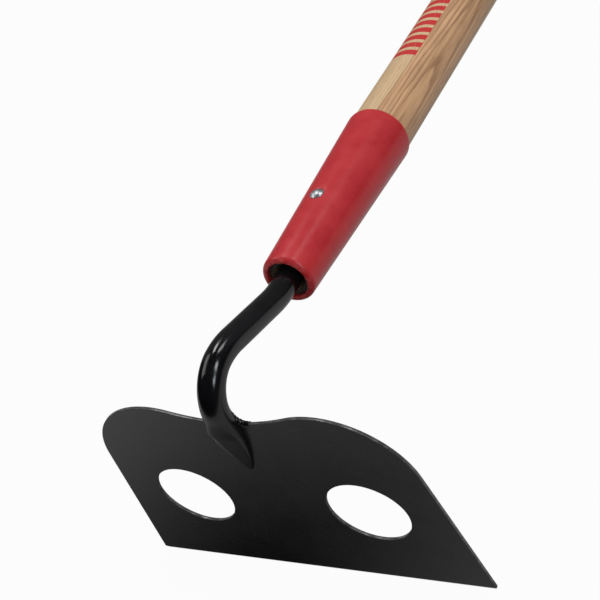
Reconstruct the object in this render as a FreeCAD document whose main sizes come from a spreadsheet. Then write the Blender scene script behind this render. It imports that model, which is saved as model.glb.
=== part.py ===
import FreeCAD, Part
import Sketcher
import math
import os

# A mortar mixing hoe. A flat blade with two round holes hangs on a round gooseneck, whose tang sits in a
# long round handle under a conical ferrule. A rivet goes through ferrule, wood and tang.
#
# Millimetres. The origin is the middle of the cutting edge, on the ground. +X runs along the cutting edge,
# +Y from the blade towards the butt of the handle, and +Z is up. The blade stands upright with its inner
# face in the plane Y = 0, and the butt of the handle touches the ground.

# Driving dimensions: cell alias and value.
DRIVING = {
    # blade
    "blade_width": 235.0,
    "plate_thickness": 2.1,
    "lobe_radius": 51.5,
    "lobe_offset": 54.3,
    "lobe_height": 95.8,
    "dip_height": 138.8,
    "hole_radius": 25.4,
    "hole_offset": 59.5,
    "hole_height": 65.5,
    "corner_radius": 3.0,
    "bevel_height": 3.0,
    "edge_thickness": 0.8,
    # gooseneck rod
    "rod_radius": 7.94,
    "crest_place": 19.0,
    "crest_height": 169.9,
    "nose_radius": 23.7,
    "shoulder_radius": 47.3,
    "rise_angle": 19.0,
    "bend_radius": 67.0,
    "tang_length": 112.0,
    "tang_chamfer": 2.0,
    # foot, forged flat below the rod
    "foot_half_width": 11.8,
    "foot_proud": 6.5,
    "foot_tip_height": 100.0,
    "foot_tip_half_width": 1.3,
    "foot_tip_proud": 1.5,
    "foot_offset": -2.5,
    "foot_crown": 0.5,
    "foot_clearance": 1.5,
    # ferrule
    "ferrule_length": 145.5,
    "ferrule_mouth_radius": 16.7,
    "ferrule_top_radius": 22.0,
    "mouth_opening_radius": 12.8,
    "mouth_lip_length": 3.0,
    "mouth_round": 3.2,
    "opening_round": 0.7,
    "top_round": 1.6,
    # handle
    "mouth_place": 97.0,
    "mouth_height": 149.3,
    "handle_length": 1371.6,
    "handle_radius": 20.2,
    "handle_recess": 3.2,
    "handle_end_radius": 14.2,
    "butt_round": 9.0,
    "socket_radius": 9.8,
    "socket_depth": 22.0,
    "fit_gap": 0.1,
    # rivet
    "rivet_station": 59.4,
    "rivet_radius": 2.4,
    "rivet_head_radius": 4.6,
    "rivet_head_rim": 0.5,
    "rivet_head_dome": 1.9,
    "rivet_tail_radius": 4.0,
    "rivet_tail_dome": 1.3,
    "rivet_seat_depth": 0.6,
    # weld beads
    "bead_radius": 1.8,
    "bead_cove": 7.6,
    "side_bead_shift": -2.0,
    "side_bead_lift": -0.4,
    "rear_bead_place": 0.3,
    "rear_bead_height": 140.1,
    "rear_bead_half_length": 5.5,
}

NECK_SECTIONS = 6
SPEAR_SECTIONS = 7
SHOULDER_SHARE = 0.7
SPEAR_TAPER_POWER = 1.6
SEAT_CUT_LENGTH = 5.0

doc = FreeCAD.newDocument("MixingHoe")


def worked_out(size):
    """Sizes that follow from the driving ones."""
    lobe_rise = size["dip_height"] - size["lobe_height"]
    dip_radius = (size["lobe_offset"] ** 2 + lobe_rise ** 2 - size["lobe_radius"] ** 2) / (
        2 * (size["lobe_radius"] - lobe_rise))

    # The handle slopes down until the rounded edge of its butt touches the ground.
    butt_length = size["handle_recess"] + size["handle_length"] - size["butt_round"]
    butt_inner = size["handle_radius"] - size["butt_round"]
    drop = size["mouth_height"] - size["butt_round"]
    slope = math.asin(drop / math.hypot(butt_length, butt_inner)) - math.atan2(butt_inner, butt_length)

    taper = (size["ferrule_top_radius"] - size["ferrule_mouth_radius"]) / size["ferrule_length"]
    surface = size["ferrule_mouth_radius"] + taper * size["rivet_station"]
    seat = surface - size["rivet_seat_depth"]
    rim = seat + size["rivet_head_rim"]

    def dome_radius(part):
        radius = size["rivet_%s_radius" % part]
        dome = size["rivet_%s_dome" % part]
        return (radius ** 2 + dome ** 2) / (2 * dome)

    return {
        "blade_half_width": size["blade_width"] / 2,
        "dip_radius": dip_radius,
        "outer_face": -size["plate_thickness"],
        "edge_face": -size["edge_thickness"],
        "neck_place": size["crest_place"] - size["nose_radius"],
        "neck_height": size["crest_height"] - size["nose_radius"],
        "foot_top_height": size["dip_height"] + size["foot_clearance"],
        "handle_slope": math.degrees(slope),
        "tang_end_place": size["mouth_place"] + size["tang_length"] * math.cos(slope),
        "tang_end_height": size["mouth_height"] - size["tang_length"] * math.sin(slope),
        "ferrule_lip_bore": size["handle_end_radius"] + size["fit_gap"],
        "ferrule_top_bore": size["handle_radius"] + size["fit_gap"],
        "wood_cone_end": size["ferrule_length"],
        "handle_butt": size["handle_recess"] + size["handle_length"],
        "socket_end": size["handle_recess"] + size["socket_depth"],
        "tang_bore_radius": size["rod_radius"] + size["fit_gap"],
        "tang_bore_end": size["tang_length"] + 2.0,
        "rivet_hole_radius": size["rivet_radius"] + size["fit_gap"],
        "rivet_seat": seat,
        "rivet_seat_radius": size["rivet_head_radius"] + size["fit_gap"],
        "rivet_rim": rim,
        "rivet_head_top": rim + size["rivet_head_dome"],
        "rivet_head_dome_radius": dome_radius("head"),
        "rivet_tail_seat": -seat,
        "rivet_tail_rim": -rim,
        "rivet_tail_top": -rim - size["rivet_tail_dome"],
        "rivet_tail_dome_radius": dome_radius("tail"),
    }


SIZE = dict(DRIVING)
SIZE.update(worked_out(DRIVING))

sheet = doc.addObject("Spreadsheet::Sheet", "Sizes")
for row, (alias, value) in enumerate(SIZE.items(), start=1):
    sheet.set("A%d" % row, alias)
    sheet.set("B%d" % row, repr(value))
    sheet.setAlias("B%d" % row, alias)
doc.recompute()


def cell(alias):
    """The expression that reads one size from the sheet."""
    return "Sizes." + alias


def point(x, y, z=0.0):
    return FreeCAD.Vector(x, y, z)


def new_body(label):
    body = doc.addObject("PartDesign::Body", label + "_body")
    body.Label = label
    return body


def origin_plane(body, role):
    return next(item for item in body.Origin.OriginFeatures if item.Role == role)


def new_sketch(body, name, role, lift_cell=None):
    """A sketch on one of the body's origin planes, or lifted off it by a size from the sheet."""
    sketch = body.newObject("Sketcher::SketchObject", name)
    sketch.AttachmentSupport = [(origin_plane(body, role), "")]
    sketch.MapMode = "FlatFace"
    if lift_cell:
        sketch.setExpression("AttachmentOffset.Base.z", lift_cell)
    return sketch


def rule(sketch, *terms):
    """A constraint with no size: tangent, coincident, symmetric and so on."""
    sketch.addConstraint(Sketcher.Constraint(*terms))


def dimension(sketch, alias, *terms):
    """A constraint whose size is read from the sheet."""
    value = SIZE[alias]
    if terms[0] == "Angle":
        value = math.radians(value)
    index = sketch.addConstraint(Sketcher.Constraint(*terms, value))
    name = "%s_%d" % (alias, index)
    sketch.renameConstraint(index, name)
    sketch.setExpression("Constraints." + name, cell(alias))


def place_point(sketch, geometry, vertex, across, up):
    """Hold a vertex at two coordinates from the sheet. None puts it on the axis."""
    if across is None:
        rule(sketch, "PointOnObject", geometry, vertex, -2)
    else:
        dimension(sketch, across, "DistanceX", -1, 1, geometry, vertex)
    if up is None:
        rule(sketch, "PointOnObject", geometry, vertex, -1)
    else:
        dimension(sketch, up, "DistanceY", -1, 1, geometry, vertex)


def draw_polygon(sketch, corners):
    """A closed polygon. Each corner is two aliases, and None stands for zero."""
    spots = [point(SIZE.get(across, 0.0), SIZE.get(up, 0.0)) for across, up in corners]
    for index, spot in enumerate(spots):
        sketch.addGeometry(Part.LineSegment(spot, spots[(index + 1) % len(spots)]))
    for index in range(len(spots)):
        rule(sketch, "Coincident", index, 2, (index + 1) % len(spots), 1)
    for index, (across, up) in enumerate(corners):
        place_point(sketch, index, 1, across, up)


def draw_circle(sketch, radius, across, up):
    index = sketch.addGeometry(Part.Circle(point(SIZE.get(across, 0.0), SIZE.get(up, 0.0)),
                                           point(0, 0, 1), SIZE[radius]))
    dimension(sketch, radius, "Radius", index)
    place_point(sketch, index, 3, across, up)


def arc(centre, radius, start, end):
    """Arc that runs anticlockwise between two points around its centre."""
    angles = [math.atan2(spot.y - centre.y, spot.x - centre.x) for spot in (start, end)]
    return Part.ArcOfCircle(Part.Circle(centre, point(0, 0, 1), radius), *angles)


def revolve(body, name, sketch):
    """Turn a half profile around the body's own Z axis."""
    feature = body.newObject("PartDesign::Revolution", name)
    feature.Profile = sketch
    feature.ReferenceAxis = (sketch, ["V_Axis"])
    feature.Angle = 360.0
    return feature


def groove(body, name, sketch):
    feature = body.newObject("PartDesign::Groove", name)
    feature.Profile = sketch
    feature.ReferenceAxis = (sketch, ["V_Axis"])
    feature.Angle = 360.0
    return feature


def dress(body, kind, name, prop, alias, test):
    """Fillet or Chamfer on the edges of the present solid that pass a test."""
    doc.recompute()
    base = body.Tip
    names = ["Edge%d" % (i + 1) for i, edge in enumerate(base.Shape.Edges) if test(edge)]
    feature = body.newObject("PartDesign::" + kind, name)
    feature.Base = (base, names)
    feature.setExpression(prop, cell(alias))
    return feature


def ring_at(radius, height):
    """Test for the circular edge of a turned part, in the body's own frame."""
    def test(edge):
        box = edge.BoundBox
        flat = box.ZLength < 1e-3
        return flat and abs(box.ZMin - height) < 1e-3 and abs(box.XMax - radius) < 1e-3
    return test


def cross_hole(body, name):
    """Drill the rivet's hole square through a turned part."""
    sketch = new_sketch(body, name + "_sketch", "XZ_Plane")
    draw_circle(sketch, "rivet_hole_radius", None, "rivet_station")
    pocket = body.newObject("PartDesign::Pocket", name)
    pocket.Profile = sketch
    pocket.Type = "ThroughAll"
    pocket.Midplane = True
    return pocket


def handle_frame():
    """Frame on the handle's axis: origin in the ferrule's mouth, Z towards the butt."""
    turn = FreeCAD.Rotation(point(1, 0, 0), -(90.0 + SIZE["handle_slope"]))
    return FreeCAD.Placement(point(0, SIZE["mouth_place"], SIZE["mouth_height"]), turn)


def rivet_frame():
    """Frame on the rivet's axis: origin on the handle's axis, Z square to it and upwards."""
    centre = handle_frame().multVec(point(0, 0, SIZE["rivet_station"]))
    turn = FreeCAD.Rotation(point(1, 0, 0), -SIZE["handle_slope"])
    return FreeCAD.Placement(centre, turn)


def make_blade():
    """Plate with two lobes, a dip between them, two holes and a bevelled cutting edge."""
    body = new_body("blade")
    sketch = new_sketch(body, "blade_outline", "XZ_Plane")

    half = SIZE["blade_half_width"]
    lobe = point(SIZE["lobe_offset"], SIZE["lobe_height"])
    radius = SIZE["lobe_radius"]
    dip_radius = SIZE["dip_radius"]
    dip = point(0, SIZE["dip_height"] + dip_radius)
    corner = point(half, 0)

    # The side line leaves the corner and touches the lobe's circle.
    reach = lobe - corner
    bearing = math.atan2(reach.y, reach.x) - math.asin(radius / reach.Length)
    touch = lobe + point(math.sin(bearing), -math.cos(bearing)) * radius
    join = dip + (lobe - dip) * (dip_radius / (lobe - dip).Length)

    def mirrored(spot):
        return point(-spot.x, spot.y)

    outline = [
        Part.LineSegment(mirrored(corner), corner),
        Part.LineSegment(corner, touch),
        arc(lobe, radius, touch, join),
        arc(dip, dip_radius, mirrored(join), join),
        arc(mirrored(lobe), radius, mirrored(join), mirrored(touch)),
        Part.LineSegment(mirrored(touch), mirrored(corner)),
    ]
    edge, right_side, right_lobe, dip_arc, left_lobe, left_side = [sketch.addGeometry(g) for g in outline]

    rule(sketch, "Coincident", edge, 1, left_side, 2)
    rule(sketch, "Coincident", edge, 2, right_side, 1)
    rule(sketch, "Tangent", right_side, 2, right_lobe, 1)
    rule(sketch, "Tangent", right_lobe, 2, dip_arc, 2)
    rule(sketch, "Tangent", dip_arc, 1, left_lobe, 1)
    rule(sketch, "Tangent", left_lobe, 2, left_side, 1)
    rule(sketch, "Symmetric", edge, 1, edge, 2, -1, 1)
    rule(sketch, "Horizontal", edge)
    rule(sketch, "Equal", right_lobe, left_lobe)
    rule(sketch, "Symmetric", right_lobe, 3, left_lobe, 3, -2)
    dimension(sketch, "blade_width", "DistanceX", edge, 1, edge, 2)
    dimension(sketch, "lobe_radius", "Radius", right_lobe)
    dimension(sketch, "dip_radius", "Radius", dip_arc)
    place_point(sketch, right_lobe, 3, "lobe_offset", "lobe_height")

    draw_circle(sketch, "hole_radius", "hole_offset", "hole_height")
    right_hole = sketch.GeometryCount - 1
    left_hole = sketch.addGeometry(Part.Circle(point(-SIZE["hole_offset"], SIZE["hole_height"]),
                                               point(0, 0, 1), SIZE["hole_radius"]))
    rule(sketch, "Equal", right_hole, left_hole)
    rule(sketch, "Symmetric", right_hole, 3, left_hole, 3, -2)

    plate = body.newObject("PartDesign::Pad", "plate")
    plate.Profile = sketch
    plate.setExpression("Length", cell("plate_thickness"))

    def at_corner(edge):
        box = edge.BoundBox
        upright = box.XLength < 1e-3 and box.ZLength < 1e-3
        return upright and abs(box.ZMax) < 1e-3 and abs(abs(box.XMax) - half) < 1e-3

    dress(body, "Fillet", "corner_fillets", "Radius", "corner_radius", at_corner)

    # The bevel thins the outer face down to the cutting edge.
    profile = new_sketch(body, "bevel_profile", "YZ_Plane")
    draw_polygon(profile, [("outer_face", None), ("edge_face", None), ("outer_face", "bevel_height")])
    bevel = body.newObject("PartDesign::Pocket", "bevel")
    bevel.Profile = profile
    bevel.Type = "ThroughAll"
    bevel.Midplane = True
    return body


def make_rod():
    """Round rod: down into the blade's top edge, over the crest, and back into the handle as a tang."""
    body = new_body("gooseneck_rod")
    path = new_sketch(body, "rod_path", "YZ_Plane")

    slope = math.radians(SIZE["handle_slope"])
    rise = math.radians(SIZE["rise_angle"])
    crest = point(SIZE["crest_place"], SIZE["crest_height"])
    nose_centre = crest - point(0, SIZE["nose_radius"])
    shoulder_centre = crest - point(0, SIZE["shoulder_radius"])
    neck = nose_centre - point(SIZE["nose_radius"], 0)
    shoulder_end = shoulder_centre + point(math.sin(rise), math.cos(rise)) * SIZE["shoulder_radius"]
    tang_end = point(SIZE["tang_end_place"], SIZE["tang_end_height"])

    # The straight rise meets the tang's line, and the bend rounds off that corner.
    rise_line = point(math.cos(rise), -math.sin(rise))
    tang_line = point(math.cos(slope), -math.sin(slope))
    gap = tang_end - shoulder_end
    along = (gap.x * tang_line.y - gap.y * tang_line.x) / (
        rise_line.x * tang_line.y - rise_line.y * tang_line.x)
    meet = shoulder_end + rise_line * along
    cut_back = SIZE["bend_radius"] * math.tan((rise - slope) / 2)
    bend_start = meet - rise_line * cut_back
    bend_end = meet + tang_line * cut_back
    bend_centre = bend_start + point(math.sin(rise), math.cos(rise)) * SIZE["bend_radius"]

    nose = path.addGeometry(arc(nose_centre, SIZE["nose_radius"], crest, neck))
    shoulder = path.addGeometry(arc(shoulder_centre, SIZE["shoulder_radius"], shoulder_end, crest))
    straight = path.addGeometry(Part.LineSegment(shoulder_end, bend_start))
    bend = path.addGeometry(arc(bend_centre, SIZE["bend_radius"], bend_start, bend_end))
    tang = path.addGeometry(Part.LineSegment(bend_end, tang_end))

    rule(path, "Tangent", nose, 1, shoulder, 2)
    rule(path, "Tangent", shoulder, 1, straight, 1)
    rule(path, "Tangent", straight, 2, bend, 1)
    rule(path, "Tangent", bend, 2, tang, 1)
    rule(path, "Vertical", nose, 1, nose, 3)
    rule(path, "Horizontal", nose, 2, nose, 3)
    place_point(path, nose, 1, "crest_place", "crest_height")
    place_point(path, tang, 2, "tang_end_place", "tang_end_height")
    dimension(path, "nose_radius", "Radius", nose)
    dimension(path, "shoulder_radius", "Radius", shoulder)
    dimension(path, "bend_radius", "Radius", bend)
    dimension(path, "rise_angle", "Angle", straight, 2, -1, 2)
    dimension(path, "handle_slope", "Angle", tang, 2, -1, 2)

    profile = new_sketch(body, "rod_profile", "XY_Plane", cell("neck_height"))
    draw_circle(profile, "rod_radius", None, "neck_place")

    rod = body.newObject("PartDesign::AdditivePipe", "rod")
    rod.Profile = profile
    rod.Spine = (path, [])

    def at_tang_end(edge):
        box = edge.BoundBox
        return box.YMin > SIZE["tang_end_place"] - 2 and abs(box.XLength - 2 * SIZE["rod_radius"]) < 1e-3

    dress(body, "Chamfer", "tang_end_chamfer", "Size", "tang_chamfer", at_tang_end)
    return body


def level_section(height, half_width, proud, blend):
    """Level section of the foot, from the rod's circle (blend 0) to a round-shouldered slab (blend 1)."""
    face = SIZE["outer_face"]
    shoulder = SHOULDER_SHARE * min(proud, half_width)
    bow = 1 - math.sqrt(0.5)
    slab_half = [
        point(half_width, face),
        point(half_width - bow * shoulder, face - proud * (1 - bow)),
        point(half_width - shoulder, face - proud),
    ]
    slab = slab_half + [point(0, face - proud - SIZE["foot_crown"])]
    slab += [point(-spot.x, spot.y) for spot in reversed(slab_half)] + [point(0, face)]

    spots = []
    for spot, degrees in zip(slab, (0, -30, -60, -90, -120, -150, -180, 90)):
        angle = math.radians(degrees)
        rim = point(math.cos(angle), math.sin(angle)) * SIZE["rod_radius"] + point(0, SIZE["neck_place"])
        place = rim + (spot + point(SIZE["foot_offset"], 0) - rim) * blend
        spots.append(point(place.x, place.y, height))

    right, right_mid, right_front, crown, left_front, left_mid, left, back = spots
    edges = [
        Part.Arc(right, right_mid, right_front),
        Part.Arc(right_front, crown, left_front),
        Part.Arc(left_front, left_mid, left),
        Part.LineSegment(left, right) if blend == 1 else Part.Arc(left, back, right),
    ]
    return Part.Wire([edge.toShape() for edge in edges])


def make_foot():
    """Spear-shaped foot: flat behind, where it lies on the blade, and thinning down to its tip."""
    top = SIZE["foot_top_height"]
    fall = SIZE["foot_tip_height"] - top
    rise = SIZE["neck_height"] - top

    neck_sections = []
    for index in range(NECK_SECTIONS):
        down = index / (NECK_SECTIONS - 1)
        blend = down * down * (3 - 2 * down)
        neck_sections.append(level_section(top + rise * (1 - down), SIZE["foot_half_width"],
                                           SIZE["foot_proud"], blend))
    spear_sections = []
    for index in range(SPEAR_SECTIONS):
        down = index / (SPEAR_SECTIONS - 1)
        narrowing = (SIZE["foot_half_width"] - SIZE["foot_tip_half_width"]) * down ** SPEAR_TAPER_POWER
        half_width = SIZE["foot_half_width"] - narrowing
        proud = SIZE["foot_proud"] + (SIZE["foot_tip_proud"] - SIZE["foot_proud"]) * down
        spear_sections.append(level_section(top + fall * down, half_width, proud, 1))

    lofts = []
    for name, sections in (("neck_taper", neck_sections), ("spear", spear_sections)):
        loft = doc.addObject("Part::Feature", name)
        loft.Shape = Part.makeLoft(sections, True, False)
        lofts.append(loft)
    return lofts


def make_gooseneck():
    """Rod and foot in one forging, with the rivet's hole through the tang."""
    forging = doc.addObject("Part::MultiFuse", "forging")
    forging.Shapes = [make_rod()] + make_foot()
    drill = doc.addObject("Part::Cylinder", "tang_drill")
    drill.setExpression("Radius", cell("rivet_hole_radius"))
    drill.setExpression("Height", cell("socket_radius") + " * 4")
    lower = rivet_frame().multiply(FreeCAD.Placement(point(0, 0, -2 * SIZE["socket_radius"]),
                                                     FreeCAD.Rotation()))
    drill.Placement = lower
    gooseneck = doc.addObject("Part::Cut", "gooseneck_forging")
    gooseneck.Label = "gooseneck"
    gooseneck.Base = forging
    gooseneck.Tool = drill
    return gooseneck


def make_ferrule():
    """Conical sleeve with a rounded lip at its mouth and a rounded top rim."""
    body = new_body("ferrule")
    profile = new_sketch(body, "ferrule_profile", "XZ_Plane")
    draw_polygon(profile, [
        ("mouth_opening_radius", None),
        ("ferrule_mouth_radius", None),
        ("ferrule_top_radius", "ferrule_length"),
        ("ferrule_top_bore", "ferrule_length"),
        ("ferrule_lip_bore", "mouth_lip_length"),
        ("mouth_opening_radius", "mouth_lip_length"),
    ])
    revolve(body, "sleeve", profile)
    dress(body, "Fillet", "mouth_fillet", "Radius", "mouth_round", ring_at(SIZE["ferrule_mouth_radius"], 0))
    dress(body, "Fillet", "opening_fillet", "Radius", "opening_round",
          ring_at(SIZE["mouth_opening_radius"], 0))
    dress(body, "Fillet", "top_fillet", "Radius", "top_round",
          ring_at(SIZE["ferrule_top_radius"], SIZE["ferrule_length"]))
    cross_hole(body, "rivet_hole")

    # Flat seats under the rivet's head and tail.
    for name, lift, away in (("head_seat", "", True), ("tail_seat", "-", False)):
        sketch = new_sketch(body, name + "_sketch", "XZ_Plane", lift + cell("rivet_seat"))
        draw_circle(sketch, "rivet_seat_radius", None, "rivet_station")
        seat = body.newObject("PartDesign::Pocket", name)
        seat.Profile = sketch
        seat.Length = SEAT_CUT_LENGTH
        seat.Reversed = away
    body.Placement = handle_frame()
    return body


def make_handle():
    """Turned wooden pole: a cone inside the ferrule, a plain grip and a rounded butt."""
    body = new_body("handle")
    profile = new_sketch(body, "handle_profile", "XZ_Plane")
    draw_polygon(profile, [
        (None, "handle_recess"),
        ("handle_end_radius", "handle_recess"),
        ("handle_radius", "wood_cone_end"),
        ("handle_radius", "handle_butt"),
        (None, "handle_butt"),
    ])
    revolve(body, "pole", profile)
    dress(body, "Fillet", "butt_fillet", "Radius", "butt_round",
          ring_at(SIZE["handle_radius"], SIZE["handle_butt"]))

    # A wide socket at the mouth, then a bore that grips the tang.
    bore = new_sketch(body, "bore_profile", "XZ_Plane")
    draw_polygon(bore, [
        (None, None),
        ("socket_radius", None),
        ("socket_radius", "socket_end"),
        ("tang_bore_radius", "socket_end"),
        ("tang_bore_radius", "tang_bore_end"),
        (None, "tang_bore_end"),
    ])
    groove(body, "tang_bore", bore)
    cross_hole(body, "rivet_hole")
    body.Placement = handle_frame()
    return body


def make_rivet():
    """Solid rivet: a domed head above the handle and a smaller domed tail, closed over, below it."""
    body = new_body("rivet")
    profile = new_sketch(body, "rivet_profile", "XZ_Plane")
    corners = [
        (None, "rivet_tail_top"),
        ("rivet_tail_radius", "rivet_tail_rim"),
        ("rivet_tail_radius", "rivet_tail_seat"),
        ("rivet_radius", "rivet_tail_seat"),
        ("rivet_radius", "rivet_seat"),
        ("rivet_head_radius", "rivet_seat"),
        ("rivet_head_radius", "rivet_rim"),
        (None, "rivet_head_top"),
    ]
    spots = [point(SIZE.get(across, 0.0), SIZE[up]) for across, up in corners]
    head_centre = point(0, SIZE["rivet_head_top"] - SIZE["rivet_head_dome_radius"])
    tail_centre = point(0, SIZE["rivet_tail_top"] + SIZE["rivet_tail_dome_radius"])
    tail_dome = profile.addGeometry(arc(tail_centre, SIZE["rivet_tail_dome_radius"], spots[0], spots[1]))
    for index in range(1, 6):
        profile.addGeometry(Part.LineSegment(spots[index], spots[index + 1]))
    head_dome = profile.addGeometry(arc(head_centre, SIZE["rivet_head_dome_radius"], spots[6], spots[7]))
    axis = profile.addGeometry(Part.LineSegment(spots[7], spots[0]))

    for index in range(axis + 1):
        rule(profile, "Coincident", index, 2, (index + 1) % (axis + 1), 1)
    for index, (across, up) in enumerate(corners):
        place_point(profile, index, 1, across, up)
    rule(profile, "PointOnObject", tail_dome, 3, -2)
    rule(profile, "PointOnObject", head_dome, 3, -2)
    revolve(body, "rivet_blank", profile)
    body.Placement = rivet_frame()
    return body


def make_bead(label, pieces, neighbours):
    """Run of weld metal, cut back to the steel that it joins."""
    for piece in pieces:
        piece.Label = "%s_%s" % (label, piece.Name)
    run = doc.addObject("Part::MultiFuse", label + "_run")
    run.Shapes = pieces
    bead = doc.addObject("Part::Cut", label + "_cut")
    bead.Label = label
    bead.Base = run
    bead.Tool = neighbours
    return bead


def bead_end(spot):
    """Rounded end of a bead."""
    ball = doc.addObject("Part::Sphere", "bead_end")
    ball.setExpression("Radius", cell("bead_radius"))
    ball.Placement.Base = spot
    return ball


def make_side_bead(label, side, neighbours):
    """Bead in the corner between the rod's side and the blade's top edge, bent to a cove."""
    cove = SIZE["bead_cove"]
    inner = SIZE["rod_radius"] + SIZE["side_bead_shift"]
    across = inner + cove
    bottom = SIZE["dip_height"] + SIZE["side_bead_lift"]
    middle = SIZE["outer_face"] / 2
    bend = doc.addObject("Part::Torus", "bead_bend")
    bend.setExpression("Radius1", cell("bead_cove"))
    bend.setExpression("Radius2", cell("bead_radius"))
    bend.Angle3 = 90.0
    upright = FreeCAD.Rotation(point(1, 0, 0), 90.0)
    quarter = FreeCAD.Rotation(point(0, 0, 1), 180.0 if side > 0 else 270.0)
    bend.Placement = FreeCAD.Placement(point(side * across, middle, bottom + cove),
                                       upright.multiply(quarter))
    ends = [
        bead_end(point(side * inner, middle, bottom + cove)),
        bead_end(point(side * across, middle, bottom)),
    ]
    return make_bead(label, [bend] + ends, neighbours)


def make_rear_bead(neighbours):
    """Bead across the back of the rod, along the blade's top edge."""
    half = SIZE["rear_bead_half_length"]
    back = SIZE["rear_bead_place"]
    height = SIZE["rear_bead_height"]
    run = doc.addObject("Part::Cylinder", "bead_run")
    run.setExpression("Radius", cell("bead_radius"))
    run.setExpression("Height", "2 * " + cell("rear_bead_half_length"))
    run.Placement = FreeCAD.Placement(point(-half, back, height), FreeCAD.Rotation(point(0, 1, 0), 90.0))
    ends = [bead_end(point(side * half, back, height)) for side in (-1, 1)]
    return make_bead("weld_bead_rear", [run] + ends, neighbours)


def check(nodes):
    """Stop if any object failed, or if a node's shape is empty, broken or in several pieces."""
    failed = [item.Name for item in doc.Objects if {"Invalid", "Error"} & set(item.State)]
    if failed:
        raise RuntimeError("failed objects: " + ", ".join(failed))
    for node in nodes:
        if node.Shape.isNull() or not node.Shape.isValid():
            raise RuntimeError("bad shape: " + node.Label)
        print("%-18s solids %d volume %10.1f" % (node.Label, len(node.Shape.Solids), node.Shape.Volume))


blade = make_blade()
gooseneck = make_gooseneck()
doc.recompute()
head = doc.addObject("Part::MultiFuse", "welded_head")
head.Shapes = [blade, gooseneck]
nodes = [
    blade,
    gooseneck,
    make_side_bead("weld_bead_left", -1, head),
    make_side_bead("weld_bead_right", 1, head),
    make_rear_bead(head),
    make_ferrule(),
    make_handle(),
    make_rivet(),
]
doc.recompute()
check(nodes)

os.makedirs("parts", exist_ok=True)
for node in nodes:
    node.Shape.exportStep("parts/" + node.Label + ".step")
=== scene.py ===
import math

import bmesh
import bpy
from mathutils import Matrix, Vector, noise
from mathutils.geometry import delaunay_2d_cdt


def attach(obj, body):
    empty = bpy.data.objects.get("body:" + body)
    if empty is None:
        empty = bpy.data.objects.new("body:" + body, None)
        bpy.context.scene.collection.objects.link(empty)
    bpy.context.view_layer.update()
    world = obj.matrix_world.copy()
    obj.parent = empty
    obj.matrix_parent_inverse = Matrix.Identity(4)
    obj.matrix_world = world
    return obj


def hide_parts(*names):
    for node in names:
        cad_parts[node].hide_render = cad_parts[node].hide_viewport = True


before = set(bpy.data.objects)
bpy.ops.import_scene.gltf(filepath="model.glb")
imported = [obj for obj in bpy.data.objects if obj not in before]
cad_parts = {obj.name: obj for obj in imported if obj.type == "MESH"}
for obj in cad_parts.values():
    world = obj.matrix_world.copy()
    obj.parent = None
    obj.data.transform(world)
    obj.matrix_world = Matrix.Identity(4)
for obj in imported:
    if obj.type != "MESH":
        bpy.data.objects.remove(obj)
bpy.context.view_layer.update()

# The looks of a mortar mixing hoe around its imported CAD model.
# Lengths are millimetres unless a comment says otherwise, and MM turns them into Blender's metres.
# The row frame: X along the cutting edge, Y towards the butt of the handle, Z up.
# The handle frame: origin in the ferrule's mouth, z along the handle towards its butt, y downwards.
MM = 0.001
SAME_PLACE = 1e-3    # points nearer than this are one point

# Blade.
BLADE_HALF_WIDTH = 117.5
PLATE = 2.1
LOBE_RADIUS = 51.5
LOBE = Vector((54.3, 95.8))
DIP_HEIGHT = 138.8
HOLE_RADIUS = 25.4
HOLE = Vector((59.5, 65.5))
HOLE_SIDES = 72
CORNER_RADIUS = 3.0
BEVEL_HEIGHT = 3.0
EDGE_THICKNESS = 0.8
EDGE_ROUND = 0.35
OUTLINE_STEP = 2.5
CORNER_STEP = math.radians(7.5)
FILL_STEP = 7.0
FILL_CLEARANCE = 0.45 * FILL_STEP
HOLE_MARGIN = 1.0
RIM_STEPS = 10
BEVEL_LINE_INSET = 0.6

# Gooseneck.
ROD_RADIUS = 7.94
CREST = Vector((19.0, 169.9))
NOSE_RADIUS = 23.7
SHOULDER_RADIUS = 47.3
RISE = math.radians(19.0)
BEND_RADIUS = 67.0
TANG_LENGTH = 112.0
FOOT_HALF_WIDTH = 11.0
FOOT_PROUD = 7.0
FOOT_OFFSET = -2.2
FOOT_TOP = DIP_HEIGHT + 1.5
FOOT_TIP = 100.0
FOOT_TIP_HALF_WIDTH = 1.3
FOOT_TIP_PROUD = 1.5
FOOT_TAPER_POWER = 2.0
FOOT_BOXINESS = 4.0
FRONT_FORGE = (155.0, 130.0)
SIDE_FORGE = (152.0, 134.0)
BACK_FORGE = (146.2, 140.3)
FORGE_TURN = (-0.2, 0.4)
PATH_STEP = 1.0
TANG_STEP = 4.0
FOOT_RINGS = 75
ROD_SIDES = 72

# Handle, ferrule and rivet.
MOUTH = Vector((0.0, 97.0, 149.3))
HANDLE_LENGTH = 1371.6
HANDLE_RADIUS = 20.2
HANDLE_RECESS = 3.2
HANDLE_END_RADIUS = 14.2
BUTT_ROUND = 9.0
SOCKET_RADIUS = 9.8
SOCKET_DEPTH = 22.0
SOCKET_FLOOR_CHAMFER = 0.4
SOCKET_MOUTH_CHAMFER = 0.3
POINT_RADIUS = 0.3
CONE_STEPS = 12
GRIP_STEP = 25.0
FERRULE_LENGTH = 145.5
FERRULE_MOUTH_RADIUS = 16.7
FERRULE_TOP_RADIUS = 22.0
OPENING_RADIUS = 12.8
MOUTH_ROUND = 3.2
OPENING_ROUND = 0.7
RIM_ROUND = 1.6
RIM_ROUND_LENGTH = 3.0
LIP_LENGTH = 3.0
FIT_GAP = 0.1
RIVET_STATION = 59.4
RIVET_RADIUS = 2.4
RIVET_HEAD_RADIUS = 4.6
RIVET_TAIL_RADIUS = 4.0
RIVET_HEAD_DOME = 1.9
RIVET_TAIL_DOME = 1.3
RIVET_RIM = 0.5
RIVET_SEAT_DEPTH = 0.6
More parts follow.
